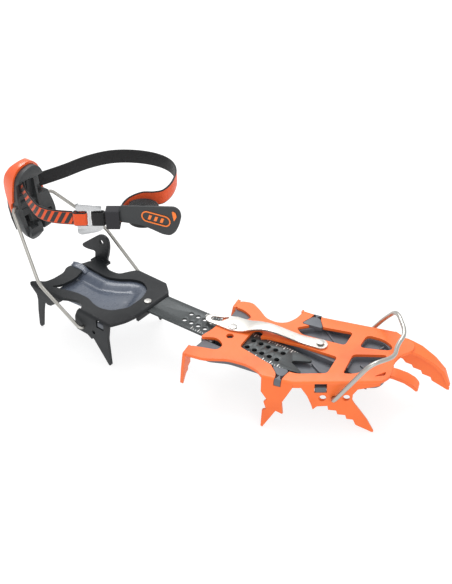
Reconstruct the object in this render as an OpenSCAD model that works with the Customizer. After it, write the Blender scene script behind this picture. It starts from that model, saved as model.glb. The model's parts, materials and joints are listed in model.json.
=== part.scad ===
// Crampon for the right foot: a toothed front section, a heel section on a link bar that
// sets the boot length, a wire toe bail, a wire heel bail with its lever, and an ankle strap.
// +X points to the toe, +Y to the inner side of the foot, +Z up; the points stand on z = 0.

/* [Plates] */
// Height of the front plate's top face above the tips of the points
deck_z = 45; // [42:1:48]
// Thickness of the folded steel plates
plate_t = 2.5; // [2.2:0.1:2.8]
// Outward lean of the front section's side points, in degrees
splay = 10; // [6:1:11]
// Angle between the front section and the heel section, in degrees
toe_out = 13.8; // [12:0.2:14]

/* [Link bar] */
// Width of the link bar
bar_w = 26; // [24:0.5:27]
// Thickness of the link bar
bar_t = 2; // [1.6:0.1:2.2]
// Diameter of the holes in the link bar
bar_hole_d = 4.2; // [3.6:0.1:4.4]
// Distance from one hole to the next along the link bar
bar_pitch = 6.9; // [6.8:0.1:7]
// Distance between the link bar's two rows of holes
bar_rows = 9.5; // [9:0.1:10]

/* [Bails] */
// Diameter of the toe bail's wire
toe_wire_d = 3.5; // [3.2:0.1:3.7]
// Diameter of the heel bail's wire
heel_wire_d = 3; // [2.8:0.1:3.2]

/* [Strap] */
// Width of the ankle strap's webbing
strap_w = 12.8; // [12:0.2:13.4]
// Thickness of the ankle strap's webbing
strap_t = 1.6; // [1.4:0.1:1.8]

/* [Hidden] */

$fn = 48;
arc_steps = 4;
eps = 0.02;

orange = [0.93, 0.36, 0.13];
black = [0.10, 0.10, 0.11];
slate = [0.36, 0.37, 0.41];
dish = [0.33, 0.36, 0.43];
bar_grey = [0.22, 0.24, 0.25];
steel = [0.68, 0.67, 0.64];
satin = [0.86, 0.84, 0.80];
chrome = [0.80, 0.81, 0.82];
plastic = [0.27, 0.29, 0.29];

// Middle of the whole assembly's bounding box, seen from the heel plate's front edge
box_mid = [49.862, 21.365];

// Front section: where its own axes start, and its side flanges' fold lines
front_at = [167.8, 38.5];
near_fold = [-54.5, -49.5];
near_bend = [-29.7, -47.2];
near_front = [29.7, -19.4];
far_fold = [-52.8, 41.5];
far_bend = [-35, 40];
far_front = [23, 46];
toe_pin_z = 31.5;
// Height of a side point's tip in its own leaning outline, so that the tip stands on z = 0
tip = deck_z + (plate_t * sin(splay) - deck_z) / cos(splay);
bail_clear = 0.25;
// Outer radius of the plates' folds
fold_r = 3;

// Link bar
bar_start = [-14, 0.3];
bar_angle = 3.2;
bar_end = 146;
bar_clear = 0.2;
bar_top = deck_z - plate_t - bar_clear;

// Heel section
heel_top = bar_top + plate_t;
heel_pin = [-38.5, 28.6];

// Heel bail's crossbar, which is the lever's hinge
crossbar = [-121, 108.5];
crossbar_near = -40.6;
crossbar_far = 2.6;

// Lock lever
lever_from = [-25.8, 3.4];
lever_len = 93;
lever_angle = 183;
lever_t = 1.4;
lever_z = deck_z + 0.3;
// Room under the rivet's head for the lever to lift
rivet_gap = 1.1;
lock_pin_r = 1.9;
// The pin's place in the lever's own axes
lock_pin_at = [72, 4.8];

// Strap, buckle and tab
buckle_at = [-52.5, -17.2];
buckle_angle = 38;
strap_z = 114.8;
roll_at = [-23.5, 15.6];
roll_r = 14.1;
roll_z = 108;

// ---- helpers -------------------------------------------------------------

function unit(v) = v / norm(v);

// Points that round corner p between its neighbours a and b
function corner(a, p, b, r) =
    let (da = min(r, 0.45 * norm(a - p)),
         db = min(r, 0.45 * norm(b - p)),
         s = p + da * unit(a - p),
         e = p + db * unit(b - p))
    [for (i = [0:arc_steps])
        let (u = i / arc_steps)
        (1 - u) * (1 - u) * s + 2 * u * (1 - u) * p + u * u * e];

// A closed outline with every corner rounded
function soften(p, r) =
    let (n = len(p))
    [for (i = [0:n - 1]) each corner(p[(i + n - 1) % n], p[i], p[(i + 1) % n], r)];

// An open path with its inner corners rounded
function soft_path(p, r) =
    let (n = len(p))
    [p[0], for (i = [1:n - 2]) each corner(p[i - 1], p[i], p[i + 1], r), p[n - 1]];

// A smooth curve through the points of p, with n steps to each span
function spline(p, n) =
    let (m = len(p) - 1)
    [for (i = [0:m - 1], k = [0:n - 1])
        let (u = k / n,
             a = p[max(i - 1, 0)],
             b = p[i],
             c = p[i + 1],
             d = p[min(i + 2, m)])
        0.5 * (2 * b + (c - a) * u + (2 * a - 5 * b + 4 * c - d) * u * u
               + (3 * b - a - 3 * c + d) * u * u * u),
     p[m]];

function flat(v) = [v[0], v[1]];

module at_front() {
    translate([front_at[0], front_at[1], 0]) rotate(toe_out) children();
}

// A rod from a to b
module rod(a, b, r) {
    d = b - a;
    translate(a)
        rotate([0, acos(d[2] / norm(d)), atan2(d[1], d[0])])
            cylinder(h = norm(d), r = r);
}

// A bent wire that follows the points of p; across is at right angles to the bail's plane
module bent_wire(p, r, across) {
    n = len(p);
    sides = 12;
    verts = [for (i = [0:n - 1])
        let (d = unit(p[min(i + 1, n - 1)] - p[max(i - 1, 0)]),
             u = unit(cross(d, across)),
             v = cross(d, u))
        each [for (k = [0:sides - 1])
            p[i] + r * (cos(360 * k / sides) * u + sin(360 * k / sides) * v)]];
    walls = [for (i = [0:n - 2], k = [0:sides - 1])
        [sides * i + k, sides * (i + 1) + k,
         sides * (i + 1) + (k + 1) % sides, sides * i + (k + 1) % sides]];
    polyhedron(verts, concat([[for (k = [0:sides - 1]) k]], walls,
        [[for (k = [0:sides - 1]) sides * n - 1 - k]]), convexity = 6);
}

// A flange that hangs from the fold line through a and b. Its outline is given as
// distance along the fold and height; side is 1 where the flange faces -Y and -1 for +Y.
module flange(a, b, side, lean, top) {
    d = b - a;
    translate([a[0], a[1], top])
        rotate(atan2(d[1], d[0]))
            rotate([-side * lean, 0, 0])
                translate([0, side > 0 ? plate_t : 0, -top])
                    rotate([90, 0, 0])
                        linear_extrude(plate_t) children();
}

// Takes the sharp edge off the fold line through a and b, where a flange turns down
module fold_round(a, b, side, lean, top) {
    d = fold_r * tan(45 - lean / 2);
    v = b - a;
    over = 2;
    past = 0.6;
    arc = [for (i = [0:arc_steps])
        let (t = 180 - lean - i * (90 - lean) / arc_steps)
        [side * (d + fold_r * cos(t)), fold_r * (sin(t) - 1)]];
    // The cut runs out past the faces that it joins
    low = arc[1] + 1.4 * (arc[0] - arc[1]);
    high = arc[arc_steps - 1] + 1.4 * (arc[arc_steps] - arc[arc_steps - 1]);
    translate([a[0], a[1], top]) rotate(atan2(v[1], v[0])) rotate([90, 0, 90])
        translate([0, 0, -past]) linear_extrude(norm(v) + 2 * past) polygon(concat(
            [high, [-side * over, over], [-side * over, low[1] - 0.3], low],
            [for (i = [1:arc_steps - 1]) arc[i]]));
}

// A band that stands on edge and follows the points of p
module ribbon(p, w, t) {
    n = len(p);
    side = [for (i = [0:n - 1])
        let (d = unit(flat(p[min(i + 1, n - 1)]) - flat(p[max(i - 1, 0)])))
        [-d[1] * t / 2, d[0] * t / 2, 0]];
    up = [0, 0, w / 2];
    verts = [for (i = [0:n - 1])
        each [p[i] - side[i] - up, p[i] + side[i] - up, p[i] + side[i] + up, p[i] - side[i] + up]];
    walls = [for (i = [0:n - 2], k = [0:3])
        [4 * i + k, 4 * i + 4 + k, 4 * i + 4 + (k + 1) % 4, 4 * i + (k + 1) % 4]];
    polyhedron(verts, concat([[0, 1, 2, 3]], walls,
        [[4 * n - 1, 4 * n - 2, 4 * n - 3, 4 * n - 4]]), convexity = 6);
}

// ---- front section -------------------------------------------------------

front_outline = [
    [-121, -49.5], [-103, -49], [-86, -42], [-71, -41.5], [-59, -45], near_fold, near_bend,
    [-8, -37.2], [9, -29], near_front, [35, -10], [34.5, -2], [33, 8], [35.5, 18], [43, 27],
    [42, 37], [33, 40], far_front, [3, 42], [-18, 40], far_bend, far_fold, [-55, 29],
    [-60, 20], [-68, 16.5], [-78, 18.5], [-86, 26], [-96, 33.5], [-107, 31.5], [-108.6, 22.7],
    [-98.5, 21.2], [-89, 15], [-92, 9], [-108, 8.4], [-110, 1], [-112, -12], [-117.5, -26],
    [-104.5, -21], [-96, -27], [-97.5, -35], [-120, -38.5]];

bar_window = [
    [-83.5, -23.8], [-81.5, 0], [-77, 3], [-72, -1], [-73.5, -7], [-68, -4], [-40, -3],
    [-9, -4.5], [-10, -26], [-31, -36], [-46, -36.5], [-61, -31.5]];
far_window = [[-51, 17], [-44, 10.5], [-8, 11.5], [-7, 29.5], [-30, 26.5], [-40, 26]];
toe_window_far = [[2.8, 13.5], [4.2, 31.5], [19, 31], [27.5, 25], [26.5, 19.5]];
toe_window_near = [[1, -21.5], [1.2, 3.5], [25.5, 13.5], [27, 6], [19, -5.5], [10, -17.5]];
nose_slit = [[23.5, -15], [30.5, -6], [30.8, -10.5]];
near_notch = [[-44.6, -55], [-44.6, -43], [-54, -33], [-36, -33], [-38.9, -43], [-38.9, -55]];
far_notch = [[-44, 48], [-44, 36], [-50, 24], [-30, 24], [-37, 36], [-37, 48]];
spare_hole = [-95.7, -15];
spare_pin_r = 2.6;

// Side points, as distance along the fold and height
near_rear_tooth = [
    [0, 45], [0.6, 31.4], [5.8, 25.4], [3.4, 22.7], [6, 16.6], [2.8, 15], [2.8, 0.6],
    [4.2, tip], [13.6, 16.9], [19.1, 15.5], [17.5, 24.9], [24.9, 40.6], [24.9, 45]];
near_front_tooth = [
    [0, 45], [0, 40.6], [6.2, 40.5], [11, 33.3], [14.3, 25.6], [15.7, 21.3], [18.9, 24],
    [26.8, 24.3], [27.6, 20.8], [33.7, 20], [34.8, 16.6], [40.8, 15.8], [42, 12.4],
    [47, 11.6], [49.2, 6.8], [62.6, tip], [63.6, 0.8], [58.3, 10.7], [52, 19.7], [47.4, 26],
    [45.5, 29.6], [45.7, 34.1], [49.2, 38.6], [66, 41.5], [66, 45]];
far_rear_tooth = [
    [17.8, 45], [17.8, 40.6], [13, 25], [14.6, 15.5], [9, 16.9], [-0.6, tip], [-2, 0.6],
    [-1.6, 15], [1, 16.6], [-1.2, 22.7], [1.2, 25.4], [-2, 32], [-2, 45]];
far_front_tooth = [
    [-1, 45], [-1, 40.6], [4, 40.5], [9, 33.3], [12.3, 25.6], [13.7, 21.3], [17, 24],
    [25, 24.3], [25.8, 20.8], [32, 20], [33, 16.6], [39, 15.8], [40.2, 12.4], [45, 11.6],
    [47.5, 6.8], [60, tip], [61, 0.8], [56, 10.7], [50, 19.7], [45.5, 26], [43.5, 29.6],
    [43.8, 34.1], [47, 38.6], [58.5, 41.5], [58.5, 45]];
rear_tooth = [
    [0, 45], [0.3, 30], [1.8, 11], [3, 10.5], [6.5, 19], [9.6, 20], [9, 24.5], [12.6, 26.5],
    [11.6, 31], [13, 34], [11, 45]];

module front_teeth() {
    flange(near_fold, near_bend, 1, splay, deck_z) polygon(near_rear_tooth);
    flange(near_bend, near_front, 1, splay, deck_z) polygon(near_front_tooth);
    flange(far_fold, far_bend, -1, splay, deck_z) polygon(far_rear_tooth);
    flange(far_bend, far_front, -1, splay, deck_z) polygon(far_front_tooth);
    translate([-121, -49.5, deck_z]) rotate([0, 7, 0]) translate([0, 0, -deck_z])
        rotate([90, 0, 90]) linear_extrude(plate_t) polygon(rear_tooth);
    translate([-109.5, 33, deck_z]) rotate([0, 7, 0]) translate([0, 0, -deck_z])
        mirror([0, 1, 0]) rotate([90, 0, 90]) linear_extrude(plate_t) polygon(rear_tooth);
}

// The main point runs forward and down: a broad flange on top of a toothed web
point_top = [
    [0, 0], [0, -2.6], [12, -5.6], [24, -12.6], [32.5, -20.6], [38, -33], [38.6, -35.5],
    [36.8, -35.8], [24, -30], [22.6, -26.8], [15.8, -25.4], [14.4, -22.2], [8, -21],
    [6.4, -18.4], [1.5, -17.6], [-1, -14.6], [-5, -13.4], [-9, -10], [-9, 0]];
point_cap = [
    [-9, 0], [0, 0], [12, -3], [24, -9.8], [33, -18], [38.6, -31], [36.2, -31], [31, -20.2],
    [23, -12.4], [11.5, -5.6], [0, -2.6], [-9, -2.6]];
module main_point() {
    translate([36, 33, deck_z]) rotate(4) {
        translate([0, 1.4, 0]) rotate([90, 0, 0]) linear_extrude(2.8) polygon(point_top);
        intersection() {
            translate([0, 12, 0]) rotate([90, 0, 0]) linear_extrude(24) polygon(point_cap);
            translate([0, 0, -50]) linear_extrude(60)
                polygon([[-9, -7.5], [4, -7], [20, -5], [33, -3], [38.6, -1.5], [38.6, 1.5],
                         [33, 3], [20, 5], [4, 7], [-9, 7.5]]);
        }
    }
}

// The shorter point beside it is a plain bent tongue
module short_point() {
    half_w = 5.2;
    translate([30, -4, deck_z]) rotate(5) intersection() {
        rotate([90, 0, 0]) translate([0, 0, -half_w]) linear_extrude(2 * half_w)
            polygon([[-4, 0], [8, -0.6], [16, -2.2], [22, -5], [25.6, -8.6], [26, -10.4],
                     [24.6, -10.6], [21, -8], [15, -5], [7, -3.3], [-4, -2.5]]);
        translate([0, 0, -20]) linear_extrude(30) polygon(soften([
            [-4, -half_w], [27, -half_w], [27, half_w], [-4, half_w]], 4));
    }
}

module front_frame() {
    color(orange) at_front() difference() {
        union() {
            translate([0, 0, deck_z - plate_t]) linear_extrude(plate_t)
                polygon(soften(front_outline, 4));
            front_teeth();
            main_point();
            short_point();
        }
        translate([0, 0, deck_z - plate_t - 1]) linear_extrude(plate_t + 2) {
            polygon(soften(bar_window, 3));
            polygon(soften(far_window, 3));
            polygon(soften(toe_window_far, 5));
            polygon(soften(toe_window_near, 3));
            polygon(soften(nose_slit, 1.5));
        }
        translate([0, 0, deck_z - 6]) linear_extrude(8) {
            polygon(soften(near_notch, 4));
            polygon(soften(far_notch, 4));
        }
        translate([0, 0, deck_z - 4]) {
            translate(lever_from) {
                cylinder(h = 8, r = 2.05);
                rotate(lever_angle) translate(lock_pin_at) cylinder(h = 8, r = 3);
            }
            translate(spare_hole) cylinder(h = 8, r = 3);
        }
        translate([0, 0, toe_pin_z]) rotate([90, 0, 0])
            cylinder(h = 120, r = toe_wire_d / 2 + bail_clear, center = true);
        for (x = [-8.2, 8.2])
            translate([x, 0, toe_pin_z]) rotate([90, 0, 0])
                cylinder(h = 120, r = spare_pin_r, center = true);
        clip_slot(near_bend, near_front, 1) square([9.4, 7.4]);
        clip_slot(far_bend, far_front, -1) square([9.4, 7.4]);
        fold_round(near_fold, near_bend, 1, splay, deck_z);
        fold_round(near_bend, near_front, 1, splay, deck_z);
        fold_round(far_fold, far_bend, -1, splay, deck_z);
        fold_round(far_bend, far_front, -1, splay, deck_z);
    }
}

// Everything that sits in the two slots above the toe bail's holes
module clip_slot(a, b, side) {
    d = b - a;
    translate([a[0], a[1], deck_z])
        rotate(atan2(d[1], d[0]))
            rotate([-side * splay, 0, 0])
                translate([16.4, side > 0 ? 8 : 2, -8.8])
                    rotate([90, 0, 0])
                        linear_extrude(10) children();
}

snow_outline = [
    [-117, -38], [-103, -43], [-86, -38.5], [-60, -39.5], [-50, -43], [-31, -43], [-8, -34.2],
    [9, -26], [28, -17.5], [31, -10], [30, 8], [29, 20], [25, 29], [19, 39], [-18, 36.6],
    [-34, 36.4], [-49, 36.4], [-60, 15], [-70, 12.5], [-80, 15], [-90, 26], [-106, 27],
    [-107, 2], [-113, -20]];
snow_low = 36.8;
snow_floor = 39;

module front_snow_plate() {
    color(slate) at_front() {
        difference() {
            translate([0, 0, snow_low]) linear_extrude(deck_z - plate_t - snow_low)
                polygon(soften(snow_outline, 4));
            // Channel that the link bar and its guide run in
            bar_space(bar_w + 9, snow_low + 0.8, deck_z);
            translate([lever_from[0], lever_from[1], snow_low - 1]) cylinder(h = 8, r = 4.2);
            // Room under the bent root of the short point
            translate([26, -11, deck_z - plate_t - 1]) cube([12, 16, 2]);
            translate([0, 0, snow_floor]) {
                linear_extrude(8) {
                    polygon(soften([[-50, 16], [-44, 10], [-8, 11], [-7, 30], [-30, 31]], 3));
                    polygon(soften([[3.5, 14.5], [5, 30], [18, 30], [26, 24], [25, 19]], 4));
                    polygon(soften([[1.8, -20], [2, 3], [24, 12], [25, 6], [10, -15.5]], 3));
                }
            }
        }
        // Tongues that come up through the notches in the plate's edges and turn down over them
        snow_tongue(near_tongue, -49.2, 1);
        snow_tongue(far_tongue, 41.6, -1);
        // Ribs on the floor of the openings
        floor_rib([-31.7, 31.9], [-17.3, 16.9], snow_floor - 0.2, 1.4);
        floor_rib([17.5, 24.5], [21.7, 32.7], snow_floor - 0.2, 1.4);
        floor_rib([9.2, -0.7], [14.8, -4.1], snow_floor - 0.2, 1.4);
        floor_rib([-26, -13.5], [-16.6, -21.2], snow_low + 0.6, 2.2);
        // Ribs on the underside
        for (x = [-70:22:18]) translate([x, -20, snow_low - 2.4]) cube([2, 42, 2.6]);
    }
}

near_tongue = [
    [-44.25, -49.2], [-44.25, -43.2], [-51.6, -34.8], [-37.4, -34.8], [-39.25, -43.2],
    [-39.25, -49.2]];
far_tongue = [
    [-43.65, 41.6], [-43.65, 36.2], [-49.2, 24.6], [-31, 24.6], [-37.35, 36.2], [-37.35, 41.6]];

// A tongue level with the plate's top, with outline p, whose end turns down at y
module snow_tongue(p, y, side) {
    end_w = p[len(p) - 1][0] - p[0][0];
    drop = 5.8;
    difference() {
        union() {
            translate([0, 0, deck_z - plate_t - 1]) linear_extrude(plate_t + 1)
                polygon(concat([p[0]], soften([for (i = [1:4]) p[i]], 3), [p[5]]));
            translate([p[0][0], side > 0 ? y : y - 2.2, deck_z - drop]) cube([end_w, 2.2, drop]);
        }
        fold_round([p[0][0] - 1, y], [p[5][0] + 1, y], side, 0, deck_z);
    }
}

module floor_rib(a, b, z, h) {
    d = b - a;
    translate([a[0], a[1], z]) rotate(atan2(d[1], d[0]))
        translate([0, -0.7, 0]) cube([norm(d), 1.4, h]);
}

// The space that the link bar runs in, w wide and from z0 to z1, in the front section's axes
module bar_space(w, z0, z1) {
    rotate(-toe_out) translate([-front_at[0], -front_at[1], 0])
        translate([bar_start[0], bar_start[1], z0]) rotate(bar_angle)
            translate([40, -w / 2, 0]) cube([160, w, z1 - z0]);
}

module on_bar() {
    translate([bar_start[0], bar_start[1], 0]) rotate(bar_angle) children();
}

guide_t = 1.4;
guide_x = [78, 97.5];

// Two steel bridges under the front plate hold the link bar up against it
module bar_guide() {
    under = bar_top - bar_t - bar_clear;
    color(bar_grey) on_bar()
        for (x = guide_x) difference() {
            translate([x - 5, -bar_w / 2 - 4, under - guide_t])
                cube([10, bar_w + 8, deck_z - plate_t - under + guide_t]);
            translate([x - 6, -bar_w / 2 - 0.3, under])
                cube([12, bar_w + 0.6, 10]);
            for (s = [-1, 1]) translate([x, s * (bar_w / 2 + 2.1), under - 3])
                cylinder(h = 12, r = 1.05);
        }
}

module guide_rivets() {
    under = bar_top - bar_t - bar_clear;
    color(steel) on_bar()
        for (x = guide_x, s = [-1, 1]) translate([x, s * (bar_w / 2 + 2.1), 0]) {
            translate([0, 0, under - guide_t]) cylinder(h = deck_z - plate_t - under + guide_t, r = 1.05);
            translate([0, 0, under - guide_t - 0.9]) cylinder(h = 0.9, r = 1.8);
        }
}

module lever_rivet() {
    color(satin) at_front() translate(lever_from) {
        translate([0, 0, deck_z - plate_t - 1.2]) cylinder(h = 1.2, r = 3.6);
        translate([0, 0, deck_z - plate_t])
            cylinder(h = lever_z + lever_t + rivet_gap - deck_z + plate_t, r = 2);
        translate([0, 0, lever_z + lever_t + rivet_gap]) cylinder(h = 0.9, r = 3.2);
    }
}

module plate_clips() {
    color(slate) at_front() {
        clip_body(near_bend, near_front, 1);
        clip_body(far_bend, far_front, -1);
    }
}

module clip_body(a, b, side) {
    d = b - a;
    translate([a[0], a[1], deck_z])
        rotate(atan2(d[1], d[0]))
            rotate([-side * splay, 0, 0])
                translate([16.8, side > 0 ? -0.5 : -plate_t, -8.6])
                    cube([8.6, plate_t + 0.5, 4.4]);
}

// ---- lock lever ----------------------------------------------------------

// Half the lever's width at distance u from its front rivet
lever_plan = [
    [0, 5.6], [8, 5], [20, 4.3], [34, 4.4], [48, 5], [58, 6.6], [66, 8.4], [73, 9], [80, 7.6],
    [86, 6.4], [91, 5.6]];
lever_arch = [
    [-6.2, 0], [14, 0], [26, 2.2], [38, 4.6], [46, 4.9], [54, 3.4], [62, 0.6], [66, 0],
    [66.6, 0], [98, 0]];

module lock_lever() {
    front = [for (a = [100:20:260]) [5.8 * cos(a), 5.8 * sin(a)]];
    rear = [for (a = [-80:20:80]) [lever_len - 1 + 5.2 * cos(a), 5.2 * sin(a)]];
    right = [for (p = lever_plan) [p[0], -p[1]]];
    left = [for (i = [len(lever_plan) - 1:-1:0]) lever_plan[i]];
    arch = soft_path(lever_arch, 7);
    top = [for (i = [len(arch) - 1:-1:0]) arch[i] + [0, lever_t]];
    color(satin) at_front() translate([lever_from[0], lever_from[1], lever_z]) rotate(lever_angle)
        difference() {
            intersection() {
                translate([0, 0, -1]) linear_extrude(10) polygon(concat(front, right, rear, left));
                translate([0, 14, 0]) rotate([90, 0, 0]) linear_extrude(28) polygon(concat(arch, top));
            }
            translate([0, 0, -1]) cylinder(h = 6, r = 2.35);
            translate([lock_pin_at[0], lock_pin_at[1], -1]) cylinder(h = 6, r = lock_pin_r);
            // Teardrop slot for a fingertip or a strap end
            translate([90.5, -0.4, -1]) cylinder(h = 6, r = 2.6);
            translate([0, 0, -1]) linear_extrude(6)
                polygon([[90, 2.2], [84, 1.6], [79.5, -4], [78.5, -5.2], [80, -6], [83.5, -4.2],
                         [91, -3]]);
        }
}

module lock_pin() {
    color(satin) at_front() translate([lever_from[0], lever_from[1], lever_z]) rotate(lever_angle)
        translate(lock_pin_at) {
            translate([0, 0, bar_top - lever_z + 0.4])
                cylinder(h = lever_z - bar_top - 0.4 + lever_t, r = lock_pin_r);
            translate([0, 0, lever_t]) cylinder(h = 0.8, r = 3.6);
        }
}

// ---- toe bail ------------------------------------------------------------

toe_near_y = -41.5;
toe_far_y = 50.2;

module toe_bail() {
    r = toe_wire_d / 2;
    path = soft_path([
        [0, -32, toe_pin_z], [0, toe_near_y, toe_pin_z], [24, -33, 71], [37, -14, 68],
        [34.5, 2, 66], [37, 17, 68], [24, 38, 71], [12.4, 48, 52], [0, toe_far_y, toe_pin_z],
        [0, 37.5, toe_pin_z]], 9);
    color(steel) at_front() {
        rod([0, toe_near_y + 3, toe_pin_z], [0, -31, toe_pin_z], r);
        rod([0, 36, toe_pin_z], [0, toe_far_y - 3, toe_pin_z], r);
        bent_wire(path, r - eps, [0.86, 0, -0.51]);
    }
}

// ---- heel section --------------------------------------------------------

bar_rivet_at = [9, -5.5];
bar_rivet_r = 2.05;
bar_hole_from = 47.4;
bar_hole_count = 14;

module link_bar() {
    color(bar_grey) on_bar() translate([0, 0, bar_top - bar_t]) difference() {
        linear_extrude(bar_t) polygon(soften([
            [0, -bar_w / 2], [138, -bar_w / 2], [bar_end + 14, -bar_w / 2 + 4.4],
            [bar_end + 14, -bar_w / 2 + 6.4], [bar_end + 2, -1.2], [bar_end + 2, 1.2],
            [bar_end + 14, bar_w / 2 - 5], [bar_end + 14, bar_w / 2 - 2.6], [138, bar_w / 2],
            [0, bar_w / 2]], 1.6));
        for (i = [0:bar_hole_count - 1], s = [-1, 1])
            translate([bar_hole_from + i * bar_pitch, s * bar_rows / 2 - 0.4, -1])
                cylinder(h = bar_t + 2, r = bar_hole_d / 2);
        translate([bar_rivet_at[0], bar_rivet_at[1], -1]) cylinder(h = bar_t + 2, r = bar_rivet_r);
    }
}

heel_outline = [
    [1.6, -24], [-1, -36], [-7.6, -49], [-41, -49], [-44, -43], [-50.7, -40], [-60, -43],
    [-67, -47.3], [-104, -47.3], [-105, -45.5], [-100, -41], [-94, -38], [-92, -30],
    [-91.8, -18], [-95.8, -12], [-94.6, -4.6], [-89, 1.4], [-86.6, 9], [-81, 13.6],
    [-71, 13.6], [-63.4, 8.8], [-52, 9.8], [-46, 20.5], [-42, 25.4], [-12, 26.6], [1.6, 15.6]];
heel_window = [
    [-12, -3], [-17, 9], [-27, 14], [-36, 12], [-47, 4], [-56.5, 0], [-70, 0.5], [-84, 1.5],
    [-80.5, -7], [-77.5, -18], [-79.5, -32], [-86, -40], [-73, -36], [-61, -32.5],
    [-47.5, -32], [-38.6, -35.3], [-29.6, -36.3], [-19.8, -32.7], [-11.5, -21]];
heel_slit = [[-82, 1.6], [-100, -1.2], [-100, -7.4], [-80, -6.4]];

// Heel points, as place along X and height
heel_front_tooth = [
    [-7.6, 45], [-10.6, 28], [-9.6, 1], [-11.6, 0.4], [-25.3, 18.7], [-27.6, 21.9],
    [-29.9, 19.5], [-34.2, 22.6], [-46.5, 22.9], [-48.4, 24.7], [-47.6, 36], [-43.6, 45]];
heel_rear_tooth = [
    [-62, 45], [-66, 41], [-74, 35], [-80, 30.4], [-84, 29.8], [-88.4, 31.8], [-91.5, 20],
    [-95, 1], [-96.8, 0], [-98.6, 1.6], [-97.6, 18], [-96, 30], [-96.6, 35.5], [-104, 43],
    [-104, 45]];
heel_far_tooth = [
    [-12, 45], [-15, 30], [-17.6, 1], [-19.4, 0.4], [-31, 18.7], [-33.6, 21.9], [-36, 19.5],
    [-40, 22.6], [-44.6, 24.7], [-43.4, 36], [-42, 45]];
heel_far_rear_tooth = [
    [-71.5, 45], [-73, 37], [-77, 30], [-84, 12], [-92, 0.4], [-94, 1], [-91, 16],
    [-88.6, 30], [-86.6, 38], [-86.2, 45]];
hook_base = heel_top - plate_t;
hook_outline = [
    [-88, hook_base], [-88, 46], [-87, 51.2], [-97, 49.4], [-103, 49.6], [-103.6, 52.4],
    [-81.5, 70], [-75, 71.8], [-70, 69], [-69.4, 62], [-71.4, 52], [-74, 46],
    [-71.5, hook_base]];
hook_hole = [-78.4, 63.6];
hook_y = 19.4;
heel_tooth_y = [-49, -47.3, 26.6];

module heel_wall(y, side) {
    translate([0, side > 0 ? y + plate_t : y, 0]) rotate([90, 0, 0]) linear_extrude(plate_t)
        intersection() {
            children();
            translate([-150, -1]) square([300, heel_top + 31]);
        }
}

module heel_frame() {
    lip = 6.5;
    lip_x = 1.8;
    color(black) difference() {
        union() {
            translate([0, 0, heel_top - plate_t]) linear_extrude(plate_t)
                polygon(soften(heel_outline, 3.5));
            intersection() {
                union() {
                    heel_wall(heel_tooth_y[0], 1) polygon(soften(heel_front_tooth, 1.2));
                    heel_wall(heel_tooth_y[1], 1) polygon(soften(heel_rear_tooth, 1.2));
                    heel_wall(heel_tooth_y[2], -1) polygon(soften(heel_far_tooth, 1.2));
                    heel_wall(14.5, -1) polygon(soften(heel_far_rear_tooth, 1.2));
                }
                translate([-150, -100, -1]) cube([300, 200, heel_top + 1]);
            }
            heel_wall(hook_y, -1) polygon(soften(hook_outline, 3));
            translate([-88, 11, heel_top - plate_t]) cube([16.5, hook_y - 11, plate_t]);
            translate([lip_x - 2.4, -24, heel_top - lip]) cube([2.4, 39, lip]);
        }
        translate([0, 0, heel_top - plate_t - 1]) linear_extrude(plate_t + 2) {
            polygon(soften(heel_window, 4));
            polygon(heel_slit);
        }
        // Slot in the front lip for the link bar
        on_bar() translate([8, -bar_w / 2 - eps, bar_top - bar_t - eps])
            cube([12, bar_w + 2 * eps, bar_t + eps]);
        for (x = [0, 12]) translate([heel_pin[0] + x, 0, heel_pin[1]]) rotate([90, 0, 0])
            cylinder(h = 140, r = heel_wire_d / 2 + bail_clear, center = true);
        translate([hook_hole[0], hook_y, hook_hole[1]]) rotate([90, 0, 0])
            cylinder(h = 10, r = 2.5, center = true);
        translate([-22.6, heel_tooth_y[0] - 3, heel_top - 9]) cube([8.4, 8, 7.4]);
        on_bar() translate([bar_rivet_at[0], bar_rivet_at[1], heel_top - plate_t - 1])
            cylinder(h = plate_t + 2, r = bar_rivet_r);
        fold_round([-48, heel_tooth_y[0]], [-4, heel_tooth_y[0]], 1, 0, heel_top);
        fold_round([-106, heel_tooth_y[1]], [-61, heel_tooth_y[1]], 1, 0, heel_top);
        fold_round([-46, heel_tooth_y[2]], [-10, heel_tooth_y[2]], -1, 0, heel_top);
        fold_round([lip_x, -26], [lip_x, 17], 1, 0, heel_top);
    }
}

dish_outline = [
    [-8, -6], [-14, 12], [-28, 18], [-40, 16], [-56, 4], [-72, 5], [-84, 3], [-88, -8],
    [-82, -20], [-84, -34], [-76, -40], [-50, -37.5], [-38, -41], [-20, -41], [-8, -30]];

module heel_snow_plate() {
    under = heel_top - plate_t;
    color(dish) {
        difference() {
            translate([0, 0, under - 5]) linear_extrude(5) polygon(soften(dish_outline, 5));
            translate([0, 0, under - 3.2]) linear_extrude(6) polygon(soften([
                [-15, -6], [-20, 7], [-30, 11], [-42, 6], [-56, -4], [-76, -4], [-79, -10],
                [-74, -20], [-76, -31], [-60, -29.5], [-46, -29], [-36, -32.5], [-22, -31],
                [-14, -21]], 4));
            on_bar() translate([-6, -bar_w / 2 - 0.5, under - bar_t - 0.3]) cube([30, bar_w + 1, 4]);
        }
        // Tongue that comes up through the slit at the rear
        translate([0, 0, under]) linear_extrude(plate_t + 0.6) polygon(soften([
            [-82.4, 0.8], [-93.6, -1.4], [-94, -6.4], [-81.6, -5.6]], 1));
        translate([0, 0, under - 5]) linear_extrude(7.4) polygon(soften([
            [-91.6, -1.9], [-94, -2.2], [-94.2, -6.2], [-91.6, -6]], 0.6));
    }
}

module bar_rivet() {
    color(satin) on_bar() translate(bar_rivet_at) {
        translate([0, 0, bar_top - bar_t - 0.9]) cylinder(h = 0.9, r = 3.2);
        translate([0, 0, bar_top - bar_t]) cylinder(h = heel_top - bar_top + bar_t, r = bar_rivet_r);
        translate([0, 0, heel_top]) cylinder(h = 0.9, r = 3.2);
    }
}

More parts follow.
